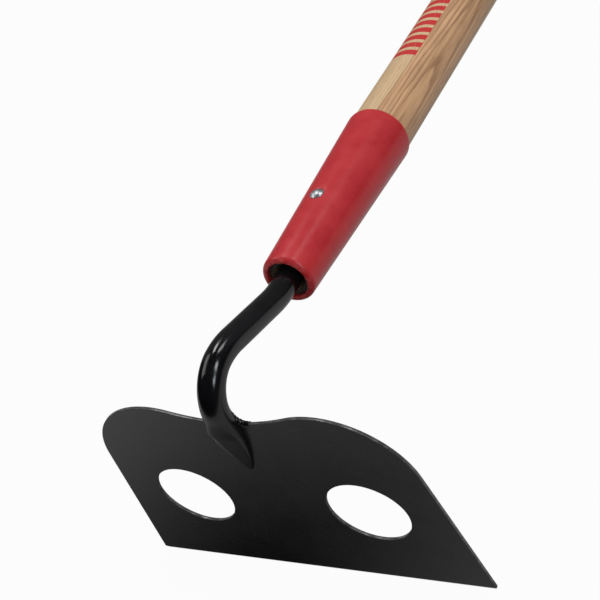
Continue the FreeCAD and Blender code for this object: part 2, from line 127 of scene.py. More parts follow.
RIVET_SEAT_SLOPE = 0.8
DOME_STEPS = 12
DOME_POINT_RADIUS = 0.05
RIVET_SIDES = 64
FERRULE_STEPS = 96
TURNED_SIDES = 192

# Weld beads.
BEAD_RADIUS = 1.8
BEAD_COVE = 7.6
SIDE_BEAD_SHIFT = -2.0
SIDE_BEAD_LIFT = -0.4
REAR_BEAD_PLACE = 0.3
REAR_BEAD_HEIGHT = 140.1
REAR_BEAD_HALF_LENGTH = 5.5
BEAD_RUN_OUT = 2.25
BEAD_RUN_STEPS = 6
BEAD_BEND_STEPS = 24
REAR_BEAD_STEPS = 40
BEAD_SIDES = 32
BEAD_END_SHARE = 0.02
RIPPLE_STEP = 2.1
RIPPLE_SHARE = 0.07
LUMPS_PER_MM = 0.45
LUMP_SHARE = 0.12


def handle_slope():
    """The handle slopes down until the rounded edge of its butt touches the ground."""
    length = HANDLE_RECESS + HANDLE_LENGTH - BUTT_ROUND
    inner = HANDLE_RADIUS - BUTT_ROUND
    return math.asin((MOUTH.z - BUTT_ROUND) / math.hypot(length, inner)) - math.atan2(inner, length)


SLOPE = handle_slope()
HANDLE_FRAME = Matrix.Translation(MOUTH * MM) @ Matrix.Rotation(-(math.pi / 2 + SLOPE), 4, "X")


# ---------------------------------------------------------------- mesh helpers

def loft(rings, start_cap=True, end_cap=True):
    """Points and faces of a skin over rings that have equal counts."""
    count = len(rings[0])
    points = [spot for ring in rings for spot in ring]
    faces = []
    for row in range(len(rings) - 1):
        for index in range(count):
            here = row * count + index
            beside = row * count + (index + 1) % count
            faces.append((here, beside, beside + count, here + count))
    if start_cap:
        faces.append(tuple(range(count)))
    if end_cap:
        faces.append(tuple(range(len(points) - count, len(points))))
    return points, faces


def revolve(profile, sides, closed=False):
    """Points and faces of a profile of (along, radius) turned about z. A closed profile makes a sleeve."""
    rings = []
    for along, radius in profile:
        turns = [2 * math.pi * index / sides for index in range(sides)]
        rings.append([Vector((radius * math.cos(t), radius * math.sin(t), along)) for t in turns])
    if closed:
        return loft(rings + rings[:1], False, False)
    return loft(rings)


def arc_points(centre, radius, start, end, step=math.radians(6)):
    """Points on an arc from one angle to another, both ends included."""
    count = max(2, math.ceil(abs(end - start) / step))
    angles = [start + (end - start) * index / count for index in range(count + 1)]
    return [centre + Vector((math.cos(a), math.sin(a))) * radius for a in angles]


def line_points(start, end, step):
    """Points on a line, both ends included."""
    count = max(1, math.ceil((end - start).length / step))
    return [start.lerp(end, index / count) for index in range(count + 1)]


def closed_mesh(name, points, faces, merge=True):
    """Smooth mesh whose faces all look outwards. Merging joins the points that share a place."""
    mesh = bpy.data.meshes.new(name)
    mesh.from_pydata([spot * MM for spot in points], [], faces)
    shell = bmesh.new()
    shell.from_mesh(mesh)
    if merge:
        bmesh.ops.remove_doubles(shell, verts=shell.verts, dist=SAME_PLACE * MM)
    bmesh.ops.recalc_face_normals(shell, faces=shell.faces)
    if shell.calc_volume(signed=True) < 0:
        bmesh.ops.reverse_faces(shell, faces=shell.faces)
    shell.to_mesh(mesh)
    shell.free()
    mesh.shade_smooth()
    return mesh


def add_piece(mesh, material, node, place=None):
    """Hang a finished piece on the root body, where it stands for one CAD node."""
    mesh.materials.append(material)
    piece = bpy.data.objects.new(mesh.name, mesh)
    if place:
        piece.matrix_world = place
    bpy.context.scene.collection.objects.link(piece)
    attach(piece, "root")
    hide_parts(node)


def new_piece(name, points, faces, material, node, place=None, smooth_angle=35.0):
    """Piece whose edges stay sharp where its faces meet at more than the smooth angle, in degrees."""
    mesh = closed_mesh(name, points, faces)
    mesh.set_sharp_from_angle(angle=math.radians(smooth_angle))
    add_piece(mesh, material, node, place)


# ---------------------------------------------------------------- material helpers

class Nodes:
    """Short way to write a node material."""

    def __init__(self, name):
        self.material = bpy.data.materials.new(name)
        self.material.use_nodes = True
        self.tree = self.material.node_tree
        self.shader = self.tree.nodes["Principled BSDF"]

    def add(self, kind, inputs=None, **settings):
        item = self.tree.nodes.new("ShaderNode" + kind)
        for name, value in settings.items():
            setattr(item, name, value)
        for name, value in (inputs or {}).items():
            self.feed(item.inputs[name], value)
        return item

    def feed(self, socket, value):
        if isinstance(value, bpy.types.NodeSocket):
            self.tree.links.new(value, socket)
        else:
            socket.default_value = value

    def place(self):
        """Object coordinates in millimetres."""
        spot = self.add("TexCoord").outputs["Object"]
        return self.stretch(spot, (1 / MM, 1 / MM, 1 / MM))

    def parts(self, vector):
        item = self.add("SeparateXYZ", {"Vector": vector})
        return item.outputs["X"], item.outputs["Y"], item.outputs["Z"]

    def math(self, operation, *values, clamp=False):
        item = self.add("Math", operation=operation, use_clamp=clamp)
        for socket, value in zip(item.inputs, values):
            self.feed(socket, value)
        return item.outputs[0]

    def noise(self, vector, size, detail=2.0, roughness=0.5, distortion=0.0):
        """Noise whose blobs measure about size millimetres, or a size for each axis."""
        sizes = size if isinstance(size, tuple) else (size, size, size)
        item = self.add("TexNoise", {"Vector": self.stretch(vector, tuple(1 / each for each in sizes)),
                                     "Scale": 1.0, "Detail": detail, "Roughness": roughness,
                                     "Distortion": distortion})
        return item.outputs["Fac"]

    def stretch(self, vector, scale):
        item = self.add("Mapping", {"Vector": vector, "Scale": scale})
        return item.outputs["Vector"]

    def turned(self, vector, axis, angle):
        item = self.add("VectorRotate", {"Vector": vector, "Axis": axis, "Angle": angle})
        return item.outputs["Vector"]

    def remap(self, value, low, high, new_low=0.0, new_high=1.0, kind="SMOOTHSTEP"):
        item = self.add("MapRange", {"Value": value, "From Min": low, "From Max": high,
                                     "To Min": new_low, "To Max": new_high}, interpolation_type=kind)
        return item.outputs["Result"]

    def band(self, value, low, high, soft):
        """1 between low and high, with soft ends."""
        return self.math("MULTIPLY", self.remap(value, low - soft, low + soft),
                         self.remap(value, high - soft, high + soft, 1.0, 0.0))

    def mix(self, factor, first, second):
        item = self.add("Mix", data_type="RGBA")
        self.feed(item.inputs["Factor"], factor)
        self.feed(item.inputs["A"], first)
        self.feed(item.inputs["B"], second)
        return item.outputs["Result"]

    def bump(self, height, depth, below=None):
        """Normal of a height field between 0 and 1 that is depth millimetres deep."""
        inputs = {"Height": height, "Distance": depth * MM}
        if below:
            inputs["Normal"] = below
        return self.add("Bump", inputs).outputs["Normal"]

    def set(self, **inputs):
        names = {"colour": "Base Color", "roughness": "Roughness", "metal": "Metallic", "normal": "Normal",
                 "specular": "Specular IOR Level"}
        for name, value in inputs.items():
            self.feed(self.shader.inputs[names[name]], value)


def colour(red, green, blue):
    """Node colour from display values between 0 and 255."""
    def linear(value):
        share = value / 255
        return share / 12.92 if share <= 0.04045 else ((share + 0.055) / 1.055) ** 2.4
    return (linear(red), linear(green), linear(blue), 1.0)


def scratches(n, spot, axis, angle, sizes):
    """Sparse straight scratches, as long and wide as sizes says, on axes turned by the angle."""
    lines = n.noise(n.turned(spot, axis, angle), sizes, 2.0, 0.6)
    return n.remap(lines, 0.70, 0.76)


def blade_paint():
    """Satin black paint on sheet steel: haze, dust, fine scratches, and paler grey along the edges, partly
    bare steel and partly a painted highlight.
    """
    n = Nodes("blade_paint")
    spot = n.place()
    height = n.parts(spot)[2]
    haze = n.noise(spot, 30.0, 3.0, 0.6)
    dust = n.remap(n.noise(spot, 1.1, 2.0, 0.7), 0.66, 0.80)
    marks = n.math("MAXIMUM", scratches(n, spot, (0, 1, 0), 0.35, (34.0, 0.5, 0.5)),
                   scratches(n, spot, (0, 1, 0), -1.1, (26.0, 0.45, 0.45)))
    base = n.mix(n.remap(haze, 0.3, 0.7), colour(22, 22, 23), colour(28, 28, 29))
    base = n.mix(n.math("MULTIPLY", dust, 0.30), base, colour(84, 83, 80))
    base = n.mix(n.math("MULTIPLY", marks, 0.22), base, colour(96, 96, 98))
    # The edges and the bevel have lost some paint; the paler grey along the edges is also a painted
    # highlight where they catch the light.
    facing = n.math("ABSOLUTE", n.parts(n.add("TexCoord").outputs["Normal"])[1])
    edge = n.remap(facing, 0.80, 0.97, 1.0, 0.0)
    patchy = n.remap(n.noise(spot, 5.0, 3.0, 0.7), 0.42, 0.62)
    bevel = n.remap(height, 0.6, BEVEL_HEIGHT, 1.0, 0.0)
    wear_and_highlight = n.math("MAXIMUM", n.math("MULTIPLY", edge, 0.42), n.math("MULTIPLY", bevel, 0.55))
    wear_and_highlight = n.math("MULTIPLY", wear_and_highlight, n.remap(patchy, 0.0, 1.0, 0.35, 1.0))
    base = n.mix(wear_and_highlight, base, colour(122, 121, 118))
    rough = n.remap(haze, 0.25, 0.75, 0.22, 0.31)
    rough = n.math("ADD", rough, n.math("MULTIPLY", n.math("MAXIMUM", dust, marks), 0.12))
    normal = n.bump(n.noise(spot, 22.0, 1.0), 0.10)
    normal = n.bump(n.noise(spot, 2.2, 2.0), 0.012, normal)
    normal = n.bump(marks, -0.006, normal)
    n.set(colour=base, roughness=rough, normal=normal, metal=n.math("MULTIPLY", wear_and_highlight, 0.5), specular=0.5)
    return n.material


def forged_paint(name, gloss, peel):
    """Gloss black paint on forged steel: orange peel, dust specks, small dents, and a painted highlight
    along the foot's shoulders.
    """
    n = Nodes(name)
    spot = n.place()
    haze = n.noise(spot, 18.0, 3.0, 0.6)
    dust = n.remap(n.noise(spot, 0.9, 2.0, 0.7), 0.68, 0.80)
    base = n.mix(n.remap(haze, 0.3, 0.7), colour(8, 8, 9), colour(13, 13, 15))
    base = n.mix(n.math("MULTIPLY", dust, 0.25), base, colour(84, 83, 80))
    # Painted highlight along the shoulders of the foot, strongest on the left one, where the rounded edge
    # catches the light.
    facing = n.parts(n.add("TexCoord").outputs["Normal"])[0]
    painted_shoulder_highlight = n.math("MAXIMUM", n.math("MULTIPLY", n.band(facing, -0.88, -0.18, 0.10), 0.80),
                    n.math("MULTIPLY", n.band(facing, 0.45, 0.80, 0.12), 0.15))
    painted_shoulder_highlight = n.math("MULTIPLY", painted_shoulder_highlight, n.remap(n.parts(spot)[2], FOOT_TIP, FOOT_TIP + 24))
    painted_shoulder_highlight = n.math("MULTIPLY", painted_shoulder_highlight, n.remap(n.parts(spot)[2], FOOT_TOP - 5, FOOT_TOP + 1, 1.0, 0.0))
    painted_shoulder_highlight = n.math("MULTIPLY", painted_shoulder_highlight, n.remap(n.noise(spot, 3.0, 2.0), 0.35, 0.60, 0.6, 1.0))
    base = n.mix(painted_shoulder_highlight, base, colour(118, 118, 116))
    rough = n.remap(haze, 0.25, 0.75, gloss, gloss + 0.08)
    rough = n.math("ADD", rough, n.math("MULTIPLY", dust, 0.15))
    normal = n.bump(n.noise(spot, 12.0, 1.0), 0.14)
    normal = n.bump(n.noise(spot, 2.4, 2.0), peel, normal)
    n.set(colour=base, roughness=rough, normal=normal, specular=0.5)
    return n.material


def red_enamel():
    """Satin red enamel: slight mottle, soft orange peel, a few scuffs and paler worn rims."""
    n = Nodes("ferrule_paint")
    spot = n.place()
    along = n.parts(spot)[2]
    mottle = n.noise(spot, 18.0, 3.0, 0.6)
    scuff = scratches(n, spot, (1, 0, 0), 0.10, (0.5, 0.5, 26.0))
    base = n.mix(n.remap(mottle, 0.3, 0.7), colour(152, 30, 36), colour(162, 36, 40))
    base = n.mix(n.math("MULTIPLY", scuff, 0.22), base, colour(190, 104, 102))
    rim = n.math("MAXIMUM", n.remap(along, 0.3, 1.2, 1.0, 0.0),
                 n.remap(along, FERRULE_LENGTH - 1.2, FERRULE_LENGTH - 0.4))
    rim = n.math("MULTIPLY", rim, n.remap(n.noise(spot, 4.0, 3.0, 0.7), 0.42, 0.62, 0.0, 0.45))
    base = n.mix(rim, base, colour(188, 92, 88))
    rough = n.remap(mottle, 0.3, 0.7, 0.26, 0.34)
    rough = n.math("ADD", rough, n.math("MULTIPLY", scuff, 0.12))
    normal = n.bump(n.noise(spot, 9.0, 1.0), 0.05)
    normal = n.bump(n.noise(spot, 1.8, 2.0), 0.010, normal)
    n.set(colour=base, roughness=rough, normal=normal, specular=0.32)
    return n.material


# Ash. The pith lies beside the pole, at an angle round it from local x towards the upper side.
PITH_ANGLE = math.radians(25)
PITH_DISTANCE = 35.0
PITH_TILT = 0.028
RING_STEP = 2.3
HEART_RADIUS = 31.0

# Plain red bars printed across the pole, where the real one carries lettering.
BAR_START = 209.0
BAR_END = 331.0
BAR_STEP = 9.4
BAR_SHARE = 0.62
BAR_LOW_ANGLE = math.radians(69)
BAR_HIGH_ANGLE = math.radians(125)


def ash_wood():
    """Lacquered ash: brown heartwood streaks near the pith, pale sapwood, and pores along the grain."""
    n = Nodes("handle_wood")
    spot = n.place()
    x, y, along = n.parts(spot)
    sway = n.math("SUBTRACT", n.noise(spot, (45.0, 45.0, 240.0), 2.0), 0.5)
    ripple = n.math("SUBTRACT", n.noise(spot, (6.0, 6.0, 60.0), 3.0, 0.6), 0.5)

    # Growth rings: distance from the pith, bent by the slow waves.
    pith_x = n.math("MULTIPLY_ADD", along, PITH_TILT, PITH_DISTANCE * math.cos(PITH_ANGLE))
    from_x = n.math("SUBTRACT", x, pith_x)
    from_y = n.math("ADD", y, PITH_DISTANCE * math.sin(PITH_ANGLE))
    distance = n.math("SQRT", n.math("ADD", n.math("MULTIPLY", from_x, from_x),
                                     n.math("MULTIPLY", from_y, from_y)))
    shade = n.remap(n.math("MULTIPLY_ADD", ripple, 4.0, distance), HEART_RADIUS - 0.7, HEART_RADIUS + 0.7,
                    1.0, 0.0)
    line = n.math("MULTIPLY_ADD", ripple, 3.0, distance)
    line = n.band(line, HEART_RADIUS - 0.2, HEART_RADIUS + 0.5, 0.35)
    distance = n.math("MULTIPLY_ADD", sway, 9.0, distance)
    distance = n.math("MULTIPLY_ADD", ripple, 2.2, distance)
    phase = n.math("FRACT", n.math("DIVIDE", distance, RING_STEP))
    early = n.math("MAXIMUM", n.remap(phase, 0.0, 0.5, 1.0, 0.0), n.remap(phase, 0.88, 1.0))

    # Fibres, pores and uneven colour.
    pore_lines = n.noise(spot, (0.7, 0.7, 14.0), 2.0, 0.6)
    pores = n.math("MULTIPLY", n.remap(pore_lines, 0.54, 0.68), n.remap(early, 0.0, 1.0, 0.35, 1.0))
    fibre = n.remap(n.noise(spot, (1.4, 1.4, 70.0), 3.0, 0.6), 0.35, 0.68)
    streaks = n.remap(n.noise(spot, (3.4, 3.4, 90.0), 3.0, 0.6), 0.42, 0.62)
    tone = n.remap(n.noise(spot, (11.0, 11.0, 60.0), 3.0), 0.42, 0.60)

    pale = n.mix(early, colour(180, 154, 120), colour(170, 141, 104))
    pale = n.mix(n.math("MULTIPLY", fibre, 0.40), pale, colour(160, 130, 96))
    brown = n.mix(early, colour(179, 140, 103), colour(133, 97, 66))
    brown = n.mix(n.math("MULTIPLY", streaks, 0.60), brown, colour(137, 100, 70))
    brown = n.mix(n.math("MULTIPLY", fibre, 0.35), brown, colour(183, 143, 106))
    brown = n.mix(n.math("MULTIPLY", tone, 0.40), brown, colour(140, 105, 76))
    base = n.mix(shade, pale, brown)
    base = n.mix(n.math("MULTIPLY", line, 0.65), base, colour(124, 86, 52))
    base = n.mix(n.math("MULTIPLY", pores, 0.45), base, colour(104, 73, 47))

    # Printed bars.
    turn = n.math("ARCTAN2", n.math("MULTIPLY", y, -1.0), x)
    bar_phase = n.math("FRACT", n.math("DIVIDE", n.math("SUBTRACT", along, BAR_START), BAR_STEP))
    bars = n.band(bar_phase, 0.5 - BAR_SHARE / 2, 0.5 + BAR_SHARE / 2, 0.02)
    bars = n.math("MULTIPLY", bars, n.band(turn, BAR_LOW_ANGLE, BAR_HIGH_ANGLE, 0.01))
    bars = n.math("MULTIPLY", bars, n.band(along, BAR_START, BAR_END, 0.1))
    bars = n.math("MULTIPLY", bars, n.remap(pore_lines, 0.60, 0.76, 1.0, 0.55))
    base = n.mix(bars, base, colour(166, 34, 36))

    # Dark brown-grey end face in the ferrule's mouth, and end grain on the butt.
    base = n.mix(n.remap(along, HANDLE_RECESS + 0.2, HANDLE_RECESS + 1.2, 1.0, 0.0), base,
                 colour(66, 60, 50))
    butt = n.remap(along, HANDLE_RECESS + HANDLE_LENGTH - BUTT_ROUND, HANDLE_RECESS + HANDLE_LENGTH - 1)
    dots = n.remap(n.noise(spot, (0.6, 0.6, 8.0), 2.0, 0.6), 0.45, 0.65)
    grain = n.mix(n.math("MULTIPLY", dots, n.remap(early, 0.0, 1.0, 0.2, 1.0)),
                  colour(176, 142, 102), colour(104, 73, 47))
    base = n.mix(n.math("MULTIPLY", butt, 0.8), base, grain)

    rough = n.remap(pores, 0.0, 1.0, 0.40, 0.58)
    rough = n.math("MULTIPLY_ADD", bars, -0.06, rough)
    normal = n.bump(n.noise(spot, (3.0, 3.0, 60.0), 2.0), 0.05)
    normal = n.bump(pores, -0.03, normal)
    n.set(colour=base, roughness=rough, normal=normal, specular=0.4)
    return n.material


def zinc():
    """Bright zinc plating with soft clouds and a few small dents."""
    n = Nodes("rivet_zinc")
    spot = n.place()
    cloud = n.noise(spot, 1.5, 3.0, 0.6)
    dents = n.noise(spot, 2.4, 1.0)
    base = n.mix(n.remap(cloud, 0.3, 0.7), colour(186, 190, 194), colour(224, 226, 228))
    normal = n.bump(dents, 0.05)
    n.set(colour=base, metal=1.0, roughness=n.remap(cloud, 0.3, 0.7, 0.34, 0.46),
          normal=n.bump(cloud, 0.02, normal))
    return n.material


# ---------------------------------------------------------------- blade

def blade_outline():
    """Closed outline as (spot, outward direction) pairs, in X and Z, anticlockwise from the bottom."""
    rise = DIP_HEIGHT - LOBE.y
    dip_radius = (LOBE.x ** 2 + rise ** 2 - LOBE_RADIUS ** 2) / (2 * (LOBE_RADIUS - rise))
    dip = Vector((0, DIP_HEIGHT + dip_radius))
    corner = Vector((BLADE_HALF_WIDTH, 0))
    reach = LOBE - corner
    lean = math.atan2(reach.y, reach.x) - math.asin(LOBE_RADIUS / reach.length)
    side = Vector((math.cos(lean), math.sin(lean)))
    out = Vector((side.y, -side.x))
    run = CORNER_RADIUS * (1 - side.x) / side.y
    centre = corner + side * run - out * CORNER_RADIUS

    def round_part(middle, radius, start, end, hollow=False):
        step = min(CORNER_STEP, OUTLINE_STEP / radius)
        spots = arc_points(middle, radius, start, end, step)
        return [(spot, (middle - spot if hollow else spot - middle).normalized()) for spot in spots]

    down = Vector((0, -1))
    right = [(spot, down) for spot in line_points(Vector((0, 0)), Vector((centre.x, 0)), OUTLINE_STEP)]
    right += round_part(centre, CORNER_RADIUS, -math.pi / 2, lean - math.pi / 2)
    right += [(spot, out) for spot in line_points(centre + out * CORNER_RADIUS, LOBE + out * LOBE_RADIUS,
                                                  OUTLINE_STEP)]
    join = math.atan2(dip.y - LOBE.y, dip.x - LOBE.x)
    right += round_part(LOBE, LOBE_RADIUS, lean - math.pi / 2, join)
    right += round_part(dip, dip_radius, join - math.pi, -math.pi / 2, hollow=True)

    left = [(Vector((-spot.x, spot.y)), Vector((-way.x, way.y))) for spot, way in reversed(right)]
    outline = []
    for spot, way in right + left:
        if not outline or (spot - outline[-1][0]).length > SAME_PLACE:
            outline.append((spot, way))
    if (outline[0][0] - outline[-1][0]).length < SAME_PLACE:
        outline.pop()
    return outline


def hole_outline(side):
    """Outline of one hole as (spot, direction towards its centre) pairs, clockwise."""
    middle = Vector((side * HOLE.x, HOLE.y))
    loop = []
    for index in range(HOLE_SIDES):
        turn = -2 * math.pi * index / HOLE_SIDES
        way = Vector((math.cos(turn), math.sin(turn)))
        loop.append((middle + way * HOLE_RADIUS, -way))
    return loop


def outer_face(height):
    """Y of the blade's outer face, which falls back over the bevel."""
    fall = max(0.0, 1 - height / BEVEL_HEIGHT)
    return -PLATE + (PLATE - EDGE_THICKNESS) * fall


def clear_of_holes(spot, radius):
    """Whether a spot lies further than the radius from both holes' centres."""
    return all((spot - Vector((side * HOLE.x, HOLE.y))).length > radius for side in (1, -1))


def inside_plate(spot, outline):
    """Whether a spot lies within the outline and clear of the holes."""
    if not clear_of_holes(spot, HOLE_RADIUS + HOLE_MARGIN):
        return False
    crossings = 0
    for one, two in zip(outline, outline[1:] + outline[:1]):
        if (one.y > spot.y) != (two.y > spot.y):
            if spot.x < one.x + (two.x - one.x) * (spot.y - one.y) / (two.y - one.y):
                crossings += 1
    return crossings % 2 == 1


def blade_rim(loops):
    """Rounded rim round every loop: points, normals, faces, and the borders of the plate's two sides."""
    turns = [math.pi * row / RIM_STEPS for row in range(RIM_STEPS + 1)]
    points = []
    normals = []
    faces = []
    outer_borders = []
    inner_borders = []
    for loop in loops:
        first = len(points)
        count = len(loop)
        for turn in turns:
            inset = EDGE_ROUND * (1 - math.sin(turn))
            for spot, way in loop:
                at = spot - way * inset
                if turn <= math.pi / 2:
                    y = outer_face(at.y) + EDGE_ROUND * (1 - math.cos(turn))
                else:
                    y = -EDGE_ROUND * (1 + math.cos(turn))
                points.append(Vector((at.x, y, at.y)))
                normals.append(Vector((way.x * math.sin(turn), -math.cos(turn), way.y * math.sin(turn))))
        for row in range(RIM_STEPS):
            for index in range(count):
                here = first + row * count + index
                beside = first + row * count + (index + 1) % count
                faces.append((here, beside, beside + count, here + count))
        outer_borders.append(range(first, first + count))
        inner_borders.append(range(first + RIM_STEPS * count, first + (RIM_STEPS + 1) * count))
    return points, normals, faces, outer_borders, inner_borders


def fill_face(points, faces, borders, outer):
    """Cover one side of the plate with triangles between its borders, the first of which is the outline."""
    spots = []
    known = []
    edges = []
    for border in borders:
        start = len(spots)
        for index in border:
            spots.append(Vector((points[index].x, points[index].z)))
            known.append(index)
        edges += [(start + i, start + (i + 1) % len(border)) for i in range(len(border))]
    border_spots = list(spots)
    outline = border_spots[:len(borders[0])]

    if outer:
        # The bevel ends in a line across the outer face.
        reach = BLADE_HALF_WIDTH - BEVEL_LINE_INSET
        start = len(spots)
        line = line_points(Vector((-reach, BEVEL_HEIGHT)), Vector((reach, BEVEL_HEIGHT)), OUTLINE_STEP)
        line = [spot for spot in line if inside_plate(spot, outline)]
        spots += line
        edges += [(start + i, start + i + 1) for i in range(len(line) - 1)]
    columns = int(BLADE_HALF_WIDTH / FILL_STEP) + 1
    rows = int((LOBE.y + LOBE_RADIUS) / FILL_STEP) + 1
    for up in range(1, rows + 1):
        for across in range(-columns, columns + 1):
            spot = Vector(((across + 0.5 * (up % 2)) * FILL_STEP, up * FILL_STEP))
            if inside_plate(spot, outline):
                if min((spot - other).length for other in border_spots) > FILL_CLEARANCE:
                    spots.append(spot)

    new_spots, _, triangles, origin = delaunay_2d_cdt(spots, edges, [], 1, 1e-5)[:4]
    number = []
    for spot, sources in zip(new_spots, origin):
        source = [index for index in sources if index < len(known)]
        if source:
            number.append(known[source[0]])
        else:
            number.append(len(points))
            points.append(Vector((spot.x, outer_face(spot.y) if outer else 0.0, spot.y)))

    # Triangles that fill a hole have their middle nearer its centre than its flat sides are.
    hole_limit = (HOLE_RADIUS + EDGE_ROUND) * math.cos(math.pi / HOLE_SIDES)
    for triangle in triangles:
        middle = sum((new_spots[i] for i in triangle), Vector((0, 0))) / 3
        if clear_of_holes(middle, hole_limit):
            faces.append(tuple(number[i] for i in triangle))


def make_blade(material):
    """Plate with rounded edges. Every corner gets its exact normal, so the flat faces shade flat."""
    loops = [blade_outline(), hole_outline(1), hole_outline(-1)]
    points, normals, faces, outer_borders, inner_borders = blade_rim(loops)
    rim_faces = len(faces)
    fill_face(points, faces, outer_borders, True)
    fill_face(points, faces, inner_borders, False)
    mesh = closed_mesh("blade_plate", points, faces, merge=False)
    loop_normals = []
    for polygon in mesh.polygons:
        flat = polygon.index >= rim_faces
        for vertex in polygon.vertices:
            loop_normals.append(polygon.normal.copy() if flat else normals[vertex])
    mesh.normals_split_custom_set(loop_normals)
    add_piece(mesh, material, "blade")


# ---------------------------------------------------------------- gooseneck

def rod_stations():
    """(place, upward normal) pairs in Y and Z along the rod, from the neck to the tang's end."""
    nose = CREST - Vector((0, NOSE_RADIUS))
    shoulder = CREST - Vector((0, SHOULDER_RADIUS))
    axis = Vector((math.cos(SLOPE), -math.sin(SLOPE)))
    tang_end = Vector((MOUTH.y, MOUTH.z)) + axis * TANG_LENGTH
    rise_line = Vector((math.cos(RISE), -math.sin(RISE)))
    shoulder_end = shoulder + Vector((math.sin(RISE), math.cos(RISE))) * SHOULDER_RADIUS
    gap = tang_end - shoulder_end
    along = (gap.x * axis.y - gap.y * axis.x) / (rise_line.x * axis.y - rise_line.y * axis.x)
    meet = shoulder_end + rise_line * along
    cut_back = BEND_RADIUS * math.tan((RISE - SLOPE) / 2)
    bend_start = meet - rise_line * cut_back
    bend_end = meet + axis * cut_back
    bend = bend_start + Vector((math.sin(RISE), math.cos(RISE))) * BEND_RADIUS

    def up(angle):
        return Vector((math.cos(angle), math.sin(angle)))

    stations = []
    for middle, radius, start, end, side in (
            (nose, NOSE_RADIUS, math.pi, math.pi / 2, 1),
            (shoulder, SHOULDER_RADIUS, math.pi / 2, math.pi / 2 - RISE, 1),
            (bend, BEND_RADIUS, -math.pi / 2 - RISE, -math.pi / 2 - SLOPE, -1)):
        if side < 0:
            straight_up = up(math.pi / 2 - RISE)
            stations += [(spot, straight_up) for spot in line_points(shoulder_end, bend_start, PATH_STEP)]
        spots = arc_points(middle, radius, start, end, PATH_STEP / radius)
        stations += [(spot, (spot - middle).normalized() * side) for spot in spots]
    tang_up = up(math.pi / 2 - SLOPE)
    stations += [(spot, tang_up) for spot in line_points(bend_end, tang_end, TANG_STEP)]
    kept = [stations[0]]
    for station in stations[1:]:
        if (station[0] - kept[-1][0]).length > SAME_PLACE:
            kept.append(station)
    return kept


def signed_power(value, power):
    return math.copysign(abs(value) ** power, value)


def ramp(value, start, end):
    """Smooth step from 0 at start to 1 at end."""
    share = min(1.0, max(0.0, (value - start) / (end - start)))
    return share * share * (3 - 2 * share)


def forged(spot, turn):
    """Where a point of the plain rod lies once the foot below the neck is hammered flat."""
    down = max(0.0, (FOOT_TOP - spot.z) / (FOOT_TOP - FOOT_TIP))
    half_width = FOOT_HALF_WIDTH + (FOOT_TIP_HALF_WIDTH - FOOT_HALF_WIDTH) * down ** FOOT_TAPER_POWER
    proud = FOOT_PROUD + (FOOT_TIP_PROUD - FOOT_PROUD) * down
    across = half_width * signed_power(math.cos(turn), 2 / FOOT_BOXINESS)
    slab = Vector((FOOT_OFFSET + across, -PLATE, spot.z))
    if math.sin(turn) > 0:
        slab.y -= proud * math.sin(turn) ** (2 / FOOT_BOXINESS)
    front = ramp(spot.z, *FRONT_FORGE)
    side = ramp(spot.z, *SIDE_FORGE)
    back = ramp(spot.z, *BACK_FORGE)
    share = back + (front - back) * ramp(math.sin(turn), *FORGE_TURN)
    return Vector((spot.x + (slab.x - spot.x) * side, spot.y + (slab.y - spot.y) * share, spot.z))


def make_gooseneck(material):
    """Rod from the tang's end to the neck, then the foot down to its tip."""
    neck = Vector((CREST.x - NOSE_RADIUS, CREST.y - NOSE_RADIUS))
    stations = list(reversed(rod_stations()))
    for index in range(1, FOOT_RINGS + 1):
        stations.append((neck.lerp(Vector((neck.x, FOOT_TIP)), index / FOOT_RINGS), Vector((-1, 0))))
    rings = []
    for place, up in stations:
        ring = []
        for index in range(ROD_SIDES):
            turn = 2 * math.pi * index / ROD_SIDES
            across = ROD_RADIUS * math.cos(turn)
            lift = ROD_RADIUS * math.sin(turn)
            spot = Vector((across, place.x + up.x * lift, place.y + up.y * lift))
            ring.append(forged(spot, turn) if place.x < CREST.x / 2 else spot)
        rings.append(ring)
    points, faces = loft(rings)
    new_piece("gooseneck_forging", points, faces, material, "gooseneck")


# ---------------------------------------------------------------- weld beads

def make_bead(name, stations, node, material):
    """Weld metal swept along (place, side way, up way) stations, with ripples and rounded ends."""
    rings = []
    length = sum((b[0] - a[0]).length for a, b in zip(stations, stations[1:]))
    travelled = 0.0
    for index, (place, side, up) in enumerate(stations):
        if index:
            travelled += (place - stations[index - 1][0]).length
        to_end = min(travelled, length - travelled)
        end = 1.0 if to_end >= BEAD_RADIUS else math.sqrt(max(0.0, 1 - (1 - to_end / BEAD_RADIUS) ** 2))
        ripple = 1 + RIPPLE_SHARE * math.sin(2 * math.pi * travelled / RIPPLE_STEP)
        ring = []
        for turn_index in range(BEAD_SIDES):
            turn = 2 * math.pi * turn_index / BEAD_SIDES
            way = side * math.cos(turn) + up * math.sin(turn)
            lump = 1 + LUMP_SHARE * noise.noise((place + way * BEAD_RADIUS) * LUMPS_PER_MM)
            ring.append(place + way * BEAD_RADIUS * max(end, BEAD_END_SHARE) * ripple * lump)
        rings.append(ring)
    points, faces = loft(rings)
    new_piece(name, points, faces, material, node, smooth_angle=60)


